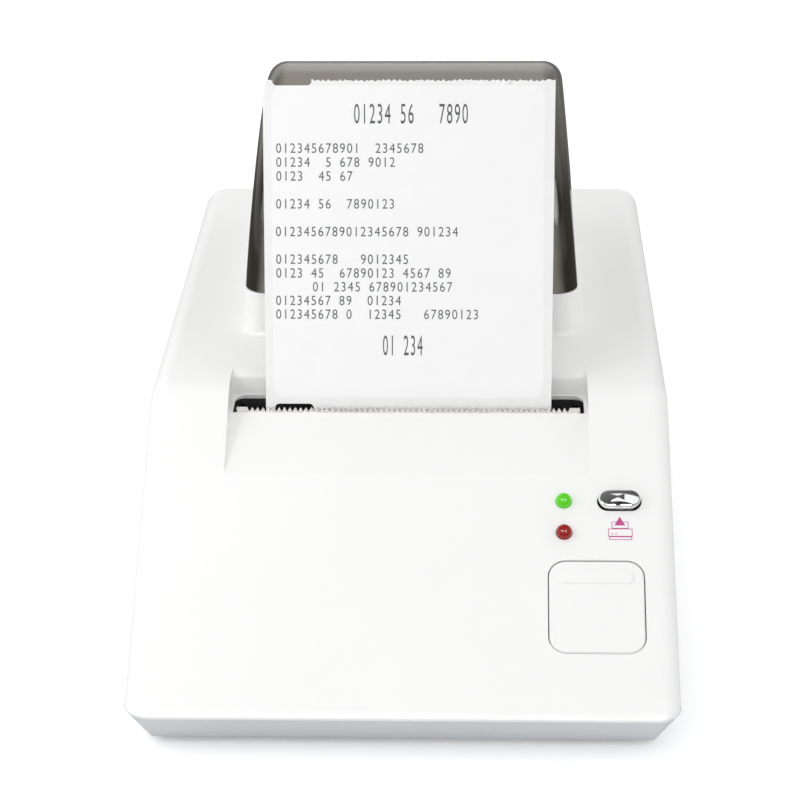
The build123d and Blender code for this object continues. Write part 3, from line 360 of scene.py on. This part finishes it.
# Cover: a half-round hood injection-moulded in clear smoked acrylic, two millimetres thick and
# polished. Its two ends, which lean in towards the top, are seen along their wall; their colour
# is painted shade, darker than the rest at the crown and almost black low down.
END_LEAN = 0.0932
END_INSIDE = 0.0380
END_OUTSIDE = 0.0408
CROWN_HEIGHT = 0.096
SHOULDER_HEIGHT = 0.080
PAINTED_SHADE_AT_CROWN = 0.62
MOTTLE = 0.95
SWIRL_SHEEN = 0.06
SOAK_COLOUR = (0.40, 0.34, 0.25, 1)
SOAK_PER_METRE = 200.0
MIX_SHARE = 0
MIX_FIRST = 6
MIX_SECOND = 7
MIX_RESULT = 2


def fade(tree, value, start, end, lowest=0.0):
    """A mask that goes smoothly from the lowest at the start to 1 at the end."""
    node = tree.nodes.new("ShaderNodeMapRange")
    node.interpolation_type = "SMOOTHSTEP"
    node.inputs["From Min"].default_value = start
    node.inputs["From Max"].default_value = end
    node.inputs["To Min"].default_value = lowest
    tree.links.new(value, node.inputs["Value"])
    return node.outputs["Result"]


def colour_mix(tree, share, first, second):
    """The first colour where the share is 0, and the second where it is 1."""
    node = tree.nodes.new("ShaderNodeMix")
    node.data_type = "RGBA"
    tree.links.new(share, node.inputs[MIX_SHARE])
    feed(tree, first, node.inputs[MIX_FIRST])
    feed(tree, second, node.inputs[MIX_SECOND])
    return node.outputs[MIX_RESULT]


smoked_skin_and_painted_shade, given = effect(
    "smoked_skin_and_painted_shade", Colour=(0.9, 0.9, 0.9, 1), Ends=(0.3, 0.3, 0.3, 1), Roughness=0.1, Grain=900.0
)
spot = smoked_skin_and_painted_shade.nodes.new("ShaderNodeSeparateXYZ")
smoked_skin_and_painted_shade.links.new(on_piece(smoked_skin_and_painted_shade), spot.inputs[0])
sideways = calc(smoked_skin_and_painted_shade, "ABSOLUTE", spot.outputs["X"])
out_to_end = raised(smoked_skin_and_painted_shade, sideways, spot.outputs["Z"], END_LEAN)
in_end = fade(smoked_skin_and_painted_shade, out_to_end, END_INSIDE, END_OUTSIDE)
low_down = fade(smoked_skin_and_painted_shade, spot.outputs["Z"], CROWN_HEIGHT, SHOULDER_HEIGHT, PAINTED_SHADE_AT_CROWN)
# Painted shade on the two ends: their colour is mixed towards the dark end colour, part way at the
# crown and fully low down.
painted_shade_share = calc(smoked_skin_and_painted_shade, "MULTIPLY", in_end, low_down)
tint_and_painted_shade = colour_mix(smoked_skin_and_painted_shade, painted_shade_share, given["Colour"], given["Ends"])
swirl = grain(smoked_skin_and_painted_shade, given["Grain"])
broad = grain(smoked_skin_and_painted_shade, BROAD_PATCHES, PATCH_DETAIL)
give(
    smoked_skin_and_painted_shade,
    tone(smoked_skin_and_painted_shade, tint_and_painted_shade, broad, MOTTLE),
    raised(smoked_skin_and_painted_shade, given["Roughness"], swirl, SWIRL_SHEEN),
    swirl,
)
# The dark end colour given below is painted shade, for the ends seen along their wall.
smoke = finish(
    "smoked_acrylic_painted_shade", smoked_skin_and_painted_shade, depth=0.0000015,
    fixed={"IOR": 1.49, "Transmission Weight": 0.45, "Specular IOR Level": 0.25},
    Colour=(0.45, 0.425, 0.37, 1), Ends=(0.050, 0.043, 0.030, 1), Roughness=0.12, Grain=900.0,
)
tree = smoke.node_tree
soak = tree.nodes.new("ShaderNodeVolumeAbsorption")
soak.inputs["Color"].default_value = SOAK_COLOUR
soak.inputs["Density"].default_value = SOAK_PER_METRE
tree.links.new(soak.outputs["Volume"], tree.nodes["Material Output"].inputs["Volume"])
dress(smoke, "roll_cover")


# Black plastics: glass-filled nylon, matt and faintly mottled, moulded for the slot guide, the
# cradle and its spool, the sensor, the switch and the two sockets in the back wall. The tall
# parts on the main board have it too.
black_nylon = finish(
    "black_nylon", moulded_skin, depth=0.000012, fixed={"IOR": 1.5},
    Colour=(0.03, 0.03, 0.032, 1), Roughness=0.5, Grain=1400.0, Darkest=0.75,
)
dress(black_nylon, "slot_guide", "gap_sensor", "roll_cradle", "spool", "spool_flange")
dress(black_nylon, "feed_switch", "power_jack", "data_port", "board_parts")


# Gears and bushes: machined from natural acetal, creamy white and slightly waxy. The gears sit
# on their shafts and post, and the bushes in the sides of the steel frame.
acetal = finish(
    "natural_acetal", moulded_skin, depth=0.000006, fixed={"IOR": 1.48, "Subsurface Weight": 0.1},
    Colour=(0.82, 0.80, 0.72, 1), Roughness=0.42, Grain=1200.0, Darkest=0.93,
)
dress(acetal, "platen_gear", "idler_gear", "motor_pinion", "platen_bushes")


# Rubber: the platen roller, ground on its steel shaft, and the four feet, let into the lower
# case. All are matt black with a trace of dust.
HAZE = 90.0
HAZE_DETAIL = 4.0
SPECK_DETAIL = 3.0
SPECK_SHEEN = 0.25
SMOOTHEST = 0.62
DUST_COLOUR = (0.30, 0.29, 0.27, 1)

rubber_skin, given = effect("rubber_skin", Colour=(0.03, 0.03, 0.03, 1), Dust=0.1, Grain=3000.0)
specks = grain(rubber_skin, given["Grain"], SPECK_DETAIL)
haze = grain(rubber_skin, HAZE, HAZE_DETAIL)
dusty = calc(rubber_skin, "MULTIPLY", haze, given["Dust"])
give(
    rubber_skin,
    colour_mix(rubber_skin, dusty, given["Colour"], DUST_COLOUR),
    raised(rubber_skin, SMOOTHEST, specks, SPECK_SHEEN),
    specks,
)
black_rubber = finish(
    "black_rubber", rubber_skin, depth=0.00001, fixed={"IOR": 1.5},
    Colour=(0.028, 0.028, 0.028, 1), Dust=0.12, Grain=3000.0,
)
dress(black_rubber, "rubber_feet", "platen_roller")


# Steel: the folded frame, rods, screws, springs, the arm and the motor's can, all plain bright
# steel with the faint lines that rolling and turning leave along the width of the printer.
LINE_STRETCH = (1.5, 60.0, 60.0)
LINE_DETAIL = 3.0
LINE_SHEEN = 0.3
DULL_PATCHES = 70.0
DULLEST = 0.86

drawn_metal, given = effect("drawn_metal", Colour=(0.6, 0.6, 0.6, 1), Roughness=0.3, Lines=60.0)
lines = grain(drawn_metal, given["Lines"], LINE_DETAIL, LINE_STRETCH)
patches = grain(drawn_metal, DULL_PATCHES, PATCH_DETAIL)
give(
    drawn_metal,
    tone(drawn_metal, given["Colour"], patches, DULLEST),
    varied(drawn_metal, given["Roughness"], lines, LINE_SHEEN),
    lines,
)
steel = finish(
    "bright_steel", drawn_metal, depth=0.000004, fixed={"Metallic": 1.0},
    Colour=(0.60, 0.60, 0.59, 1), Roughness=0.33, Lines=50.0,
)
dress(steel, "case_screws", "hinge_pins", "head_pivot", "release_arm", "head_springs")
dress(steel, "chassis", "platen_shaft", "stepper_motor")


# Tear bar: a thin strip of steel with ground teeth, which stands in the slot in front of the
# paper. It is duller and a little warmer than the other steel.
blade = finish(
    "ground_steel", drawn_metal, depth=0.000002, fixed={"Metallic": 1.0},
    Colour=(0.56, 0.55, 0.515, 1), Roughness=0.5, Lines=90.0,
)
dress(blade, "tear_bar")


# Head sink: the finned carrier that the print head is bonded to, sawn from an extruded bar of
# aluminium and left plain.
alloy = finish(
    "extruded_alloy", drawn_metal, depth=0.000006, fixed={"Metallic": 1.0},
    Colour=(0.72, 0.72, 0.72, 1), Roughness=0.42, Lines=30.0,
)
dress(alloy, "head_sink")


# Print head: a thin ceramic strip with a soft ivory glaze over its heating line, bonded to the
# front of the sink.
glaze = finish(
    "glazed_ceramic", moulded_skin, depth=0.000003,
    fixed={"Coat Weight": 0.6, "Coat Roughness": 0.1},
    Colour=(0.75, 0.73, 0.68, 1), Roughness=0.3, Grain=700.0, Darkest=0.92,
)
dress(glaze, "print_head")


# Feed button: a pill of moulded plastic with bright chrome plating, polished all over. The
# relief adds a low crown to its top, in which the tent is mirrored.
CROWN_Y = -0.0525
CROWN_Z = 0.0375
CROWN_STEEPNESS = -60.0

plating = finish(
    "bright_plating", drawn_metal, depth=0.0000002, fixed={"Metallic": 1.0},
    Colour=(0.93, 0.93, 0.94, 1), Roughness=0.04, Lines=6.0,
)
tree = plating.node_tree
button_low, button_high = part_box("feed_button")
from_crown = tree.nodes.new("ShaderNodeVectorMath")
from_crown.operation = "DISTANCE"
from_crown.inputs[1].default_value = ((button_low[0] + button_high[0]) / 2, CROWN_Y, CROWN_Z)
tree.links.new(on_piece(tree), from_crown.inputs[0])
squared = calc(tree, "POWER", from_crown.outputs["Value"], 2.0)
crown = tree.nodes.new("ShaderNodeBump")
crown.inputs["Strength"].default_value = 1.0
crown.inputs["Distance"].default_value = 1.0
tree.links.new(calc(tree, "MULTIPLY", squared, CROWN_STEEPNESS), crown.inputs["Height"])
tree.links.new(crown.outputs["Normal"], tree.nodes["relief"].inputs["Normal"])
dress(plating, "feed_button")


# Circuit boards: glass-fibre sheet under green lacquer, with the copper tracks just raised. The
# small one hangs on two posts behind the lights and the button, and the main one lies on posts
# in the tray.
TRACKS_PER_METRE = 90.0
TRACK_WIDTH = 0.04
BETWEEN_TRACKS = (0.55, 0.55, 0.55, 1)
BESIDE_TRACKS = (0.8, 0.8, 0.8, 1)
OVER_TRACKS = (1, 1, 1, 1)
DARK_LACQUER = 0.6
LACQUER_GRAIN = 400.0
LACQUER_SHEEN = 0.12

lacquer, given = effect("lacquered_board", Colour=(0.02, 0.18, 0.07, 1), Roughness=0.35)
tracks = lacquer.nodes.new("ShaderNodeTexBrick")
tracks.inputs["Scale"].default_value = TRACKS_PER_METRE
tracks.inputs["Mortar Size"].default_value = TRACK_WIDTH
tracks.inputs["Color1"].default_value = BETWEEN_TRACKS
tracks.inputs["Color2"].default_value = BESIDE_TRACKS
tracks.inputs["Mortar"].default_value = OVER_TRACKS
lacquer.links.new(on_piece(lacquer), tracks.inputs["Vector"])
give(
    lacquer,
    tone(lacquer, given["Colour"], tracks.outputs["Color"], DARK_LACQUER),
    raised(lacquer, given["Roughness"], grain(lacquer, LACQUER_GRAIN), LACQUER_SHEEN),
    tracks.outputs["Fac"],
)
board_green = finish(
    "green_lacquer", lacquer, depth=0.00002, fixed={"IOR": 1.5},
    Colour=(0.02, 0.19, 0.07, 1), Roughness=0.32,
)
dress(board_green, "panel_board", "main_board")


# Core of the label roll: a tube wound from brown card, glued, cut to the roll's width and
# slipped over the spool.
FIBRE_STRETCH = (1.0, 0.4, 0.4)
FIBRE_DETAIL = 3.0
FIBRE_SHEEN = 0.15
CLOUDS = 160.0
CLOUD_DETAIL = 4.0

paper_fibre, given = effect(
    "paper_fibre", Colour=(0.9, 0.9, 0.89, 1), Roughness=0.6, Fibre=2200.0, Darkest=0.96
)
threads = grain(paper_fibre, given["Fibre"], FIBRE_DETAIL, FIBRE_STRETCH)
clouds = grain(paper_fibre, CLOUDS, CLOUD_DETAIL)
give(
    paper_fibre,
    tone(paper_fibre, given["Colour"], clouds, given["Darkest"]),
    varied(paper_fibre, given["Roughness"], threads, FIBRE_SHEEN),
    threads,
)
card = finish(
    "brown_card", paper_fibre, depth=0.00003, fixed={"IOR": 1.45},
    Colour=(0.50, 0.38, 0.26, 1), Roughness=0.8, Fibre=1500.0, Darkest=0.82,
)
dress(card, "roll_core")


# Label roll: white thermal labels on their carrier, wound tight on the core. The cut edges of
# the turns show as fine rings on both ends.
ROLL_AXIS = (0, -0.0359, -0.057)
RINGS_PER_METRE = 700.0
RING_WANDER = 0.6
RING_SHADE = 0.8

wound = finish(
    "wound_labels", paper_fibre, depth=0.00001, fixed={"IOR": 1.45},
    Colour=(0.86, 0.86, 0.84, 1), Roughness=0.62, Fibre=2200.0, Darkest=0.95,
)
tree = wound.node_tree
centred = tree.nodes.new("ShaderNodeMapping")
centred.inputs["Location"].default_value = ROLL_AXIS
tree.links.new(on_piece(tree), centred.inputs["Vector"])
rings = tree.nodes.new("ShaderNodeTexWave")
rings.wave_type = "RINGS"
rings.rings_direction = "X"
rings.inputs["Scale"].default_value = RINGS_PER_METRE
rings.inputs["Distortion"].default_value = RING_WANDER
tree.links.new(centred.outputs["Vector"], rings.inputs["Vector"])
paper = tree.nodes["skin"].outputs["Colour"]
edges = tone(tree, paper, rings.outputs["Fac"], RING_SHADE, low=0.0, high=1.0)
tree.links.new(edges, tree.nodes["Principled BSDF"].inputs["Base Color"])
dress(wound, "label_roll")


# Label: smooth and very white thermal paper, die-cut with round corners and stuck to the
# carrier strip.
thermal = finish(
    "thermal_paper", paper_fibre, depth=0.0000015, fixed={"IOR": 1.45},
    Colour=(0.90, 0.90, 0.90, 1), Roughness=0.48, Fibre=2600.0, Darkest=0.985,
)
dress(thermal, "label_face")


# Carrier strip: the siliconised paper that carries the labels, from the roll past the platen
# and up out of the slot. Its upper end was torn off over the teeth, so it is ragged. The side
# edges and the lowest notch are moved by a millimetre or less, to meet the photograph.
LEAN = radians(71.7)
WEB_FRONT = 0.0643
WEB_OUT = 0.00105
HALF_DEPTH = 0.094
SLOT_HEIGHT = 0.0456
TORN_HEIGHT = 0.1136
SAME_POINT = 0.000001
TEAR_STEPS = 186
TEAR_WIDTH = 0.0645
TEAR_ABOVE = 0.004
TEAR_HALF_THICK = 0.001
TEAR_SEED = 7
TOOTH_PITCH = 0.00117
TOOTH_SLOPE = 0.0007
TOOTH_TIP = 0.0001
BITE = 0.0003
CORNER_START = 0.0301
CORNER_SLOPE = 3.0
RIGHT_EDGE = 0.03
RIGHT_OUT = 0.0010
RIGHT_TAPER = 0.007
LEFT_EDGE = -0.0305
LEFT_OUT = 0.0004
LEFT_TAPER = 0.005
NOTCH_LEFT = -0.030
NOTCH_RIGHT = -0.019
NOTCH_FOOT = -0.002
NOTCH_TOP = 0.005
NOTCH_DOWN = 0.00065
SMOOTH_UNDER = radians(30)

web_foot = Vector((0, WEB_FRONT + WEB_OUT / sin(LEAN) - HALF_DEPTH, SLOT_HEIGHT))
web_run = (TORN_HEIGHT - SLOT_HEIGHT) / sin(LEAN)
up_web = Vector((0, cos(LEAN), sin(LEAN)))


def slope(angle, y, z):
    """Stands a flat drawing up on its lower edge, at an angle, with that edge at y and z."""
    return Matrix((
        (1, 0, 0, 0),
        (0, cos(angle), -sin(angle), y),
        (0, sin(angle), cos(angle), z),
        (0, 0, 0, 1),
    ))


def pick(*pieces):
    """Selects these pieces alone, with the first one active."""
    bpy.ops.object.select_all(action="DESELECT")
    for piece in pieces:
        piece.select_set(True)
    bpy.context.view_layer.objects.active = pieces[0]


def thicken(height):
    """Extrudes the active flat piece upwards and turns its faces outwards."""
    bpy.ops.object.mode_set(mode="EDIT")
    bpy.ops.mesh.select_all(action="SELECT")
    bpy.ops.mesh.extrude_region_move(TRANSFORM_OT_translate={"value": (0, 0, height)})
    bpy.ops.mesh.select_all(action="SELECT")
    bpy.ops.mesh.normals_make_consistent(inside=False)
    bpy.ops.object.mode_set(mode="OBJECT")


strip = bpy.data.objects.new("carrier_strip", nodes["liner_web"].data.copy())
bpy.context.scene.collection.objects.link(strip)
pick(strip)
bpy.ops.object.mode_set(mode="EDIT")
bpy.ops.mesh.select_all(action="SELECT")
bpy.ops.mesh.remove_doubles(threshold=SAME_POINT)
bpy.ops.object.mode_set(mode="OBJECT")

web_plane = slope(LEAN, web_foot.y, web_foot.z)
bpy.ops.mesh.primitive_grid_add(x_subdivisions=TEAR_STEPS, y_subdivisions=1, size=1)
tear = bpy.context.object
chance = random.Random(TEAR_SEED)
for vertex in tear.data.vertices:
    number = round((vertex.co.x + 0.5) * TEAR_STEPS)
    x = (number / TEAR_STEPS - 0.5) * TEAR_WIDTH
    if vertex.co.y > 0:
        vertex.co = (x, web_run + TEAR_ABOVE, -TEAR_HALF_THICK)
    else:
        tooth = abs((x / TOOTH_PITCH) % 1.0 - 0.5) * TOOTH_SLOPE
        bite = chance.random() * BITE + max(0.0, -CORNER_START - x) * CORNER_SLOPE
        vertex.co = (x, web_run + TOOTH_TIP - tooth - bite, -TEAR_HALF_THICK)
pick(tear)
thicken(2 * TEAR_HALF_THICK)
tear.data.transform(web_plane)
cut = strip.modifiers.new("torn_end", "BOOLEAN")
cut.operation = "DIFFERENCE"
cut.solver = "EXACT"
cut.object = tear
pick(strip)
bpy.ops.object.modifier_apply(modifier="torn_end")
bpy.data.objects.remove(tear)

for vertex in strip.data.vertices:
    height = (vertex.co - web_foot).dot(up_web)
    if height > 0 and vertex.co.x > RIGHT_EDGE:
        vertex.co.x += RIGHT_OUT - RIGHT_TAPER * height
    elif height > 0 and vertex.co.x < LEFT_EDGE:
        vertex.co.x -= LEFT_OUT - LEFT_TAPER * height
    elif NOTCH_FOOT < height < NOTCH_TOP and NOTCH_LEFT < vertex.co.x < NOTCH_RIGHT:
        vertex.co -= NOTCH_DOWN * up_web
bpy.ops.object.shade_smooth_by_angle(angle=SMOOTH_UNDER)
carrier_paper = finish(
    "carrier_paper", paper_fibre, depth=0.000003, fixed={"IOR": 1.45},
    Colour=(0.86, 0.865, 0.86, 1), Roughness=0.42, Fibre=1800.0, Darkest=0.97,
)
strip.data.materials.clear()
strip.data.materials.append(carrier_paper)
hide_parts("liner_web")
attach(strip, "case")
strip.select_set(False)


# Print on the label: rows of plain numbers in grey thermal ink, a tall row at the top and at the
# bottom and small rows between, each figure on its own step as such printers set them. A row
# is its figures, its left end, its step, its base and its height, in millimetres.
SMALL = 2.05
SMALL_STEP = 1.525
ROW_STEP = 2.99
FIRST_ROW = 55.95
FIGURE_SHARE = 0.72
INK_HEIGHT = 0.000131

ink = finish(
    "thermal_ink", paper_fibre, depth=0.000001, fixed={"IOR": 1.45},
    Colour=(0.10, 0.10, 0.105, 1), Roughness=0.6, Fibre=2600.0, Darkest=0.8,
)
rows = [("01234 56   7890", -11.74, 1.655, 62.25, 4.15), ("01 234", -5.67, 1.5, 12.15, 4.3)]
for row, left, figures in (
    (0, -28.5, "012345678901  2345678"),
    (1, -28.5, "01234  5 678 9012"),
    (2, -28.5, "0123  45 67"),
    (4, -28.6, "01234 56  7890123"),
    (6, -28.7, "0123456789012345678 901234"),
    (8, -28.7, "012345678   9012345"),
    (9, -28.7, "0123 45  67890123 4567 89"),
    (10, -20.8, "01 2345 678901234567"),
    (11, -28.8, "01234567 89  01234"),
    (12, -28.8, "012345678 0  12345   67890123"),
):
    rows.append((figures, left, SMALL_STEP, FIRST_ROW - row * ROW_STEP, SMALL))

figure_shapes = {}
for figure in "0123456789":
    bpy.ops.object.text_add()
    letter = bpy.context.object
    letter.data.body = figure
    letter.data.size = 1.0
    letter.data.align_x = "CENTER"
    letter.data.resolution_u = 4
    bpy.ops.object.convert(target="MESH")
    figure_shapes[figure] = bpy.context.object.data.copy()
    bpy.data.objects.remove(bpy.context.object)
tallest = max(vertex.co.y for vertex in figure_shapes["7"].vertices)
widest = 2 * max(vertex.co.x for vertex in figure_shapes["8"].vertices)

printed = []
for figures, left, step, base, tall in rows:
    for place, figure in enumerate(figures):
        if figure == " ":
            continue
        shape = figure_shapes[figure].copy()
        wide = step * FIGURE_SHARE / widest
        middle = left + (place + 0.5) * step
        shape.transform(Matrix.Diagonal((wide / 1000, tall / tallest / 1000, 1, 1)))
        shape.transform(Matrix.Translation((middle / 1000, base / 1000, INK_HEIGHT)))
        shape.transform(web_plane)
        mark = bpy.data.objects.new("mark", shape)
        bpy.context.scene.collection.objects.link(mark)
        printed.append(mark)
pick(*printed)
bpy.ops.object.join()
numbers = bpy.context.object
numbers.name = "printed_numbers"
numbers.data.materials.clear()
numbers.data.materials.append(ink)
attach(numbers, "case")
numbers.select_set(False)


# Feed sign: a pictogram pad-printed in magenta under the button, an arrow on a sheet that comes
# out of a plain box. It is drawn in millimetres from the middle of the front's lower edge, up
# the slope, and stands just over a hundredth of a millimetre on the surface.
FRONT_SLOPE = radians(32.854436)
FRONT_Y = -0.094
PARTING_Z = 0.009
STROKE = 0.16
INK_THICK = 0.012
DOT_RADIUS = 0.17
DOTS_ACROSS = (43.50, 44.28)
DOTS_UP = 42.68
OUTLINES = (
    (43.38, 46.92, 43.87, 45.51),
    (42.62, 47.74, 42.01, 43.87),
    (42.83, 47.62, 41.20, 42.01),
)
ARROW = ((45.12, 46.69), (43.94, 44.60), (46.27, 44.60))

sign_parts = []
for left, right, bottom, top in OUTLINES:
    bpy.ops.mesh.primitive_plane_add(size=1)
    outline = bpy.context.object
    outline.data.transform(Matrix.Diagonal((right - left, top - bottom, 1, 1)))
    outline.data.transform(Matrix.Translation(((left + right) / 2, (bottom + top) / 2, 0)))
    bpy.ops.object.mode_set(mode="EDIT")
    bpy.ops.mesh.select_all(action="SELECT")
    bpy.ops.mesh.inset(thickness=STROKE)
    bpy.ops.mesh.delete(type="FACE")
    bpy.ops.object.mode_set(mode="OBJECT")
    sign_parts.append(outline)
bpy.ops.mesh.primitive_circle_add(vertices=3, radius=1, fill_type="NGON")
arrow = bpy.context.object
for vertex, (x, up) in zip(arrow.data.vertices, ARROW):
    vertex.co = (x, up, 0)
sign_parts.append(arrow)
for x in DOTS_ACROSS:
    bpy.ops.mesh.primitive_circle_add(vertices=12, radius=DOT_RADIUS, fill_type="NGON")
    dot = bpy.context.object
    dot.data.transform(Matrix.Translation((x, DOTS_UP, 0)))
    sign_parts.append(dot)
pick(*sign_parts)
bpy.ops.object.join()
sign = bpy.context.object
sign.name = "feed_sign"
thicken(INK_THICK)
sign.data.transform(Matrix.Diagonal((0.001, 0.001, 0.001, 1)))
sign.data.transform(slope(FRONT_SLOPE, FRONT_Y, PARTING_Z))
magenta_ink = finish(
    "magenta_ink", moulded_skin, depth=0.000002, fixed={"IOR": 1.5},
    Colour=(0.56, 0.075, 0.28, 1), Roughness=0.45, Grain=1500.0, Darkest=0.9,
)
sign.data.materials.clear()
sign.data.materials.append(magenta_ink)
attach(sign, "case")
sign.select_set(False)


# Status lights: two domed lights cast in clear coloured resin, which stand on the small board
# and show through the front. The upper one is lit green, the lower dark red and all but off.
def lens_resin(name, colour, light, strength):
    """A polished coloured resin that gives off some light of its own."""
    return finish(
        name, moulded_skin, depth=0.000001,
        fixed={
            "IOR": 1.5,
            "Specular IOR Level": 0.5,
            "Emission Strength": strength,
            "Emission Color": light,
        },
        Colour=colour, Roughness=0.04, Grain=500.0, Darkest=0.8,
    )


lit_green = lens_resin("green_resin", (0.09, 0.52, 0.01, 1), (0.10, 0.75, 0.01, 1), 0.20)
dress(lit_green, "green_light")
dark_red = lens_resin("red_resin", (0.30, 0.008, 0.008, 1), (0.5, 0.01, 0.01, 1), 0.02)
dress(dark_red, "red_light")
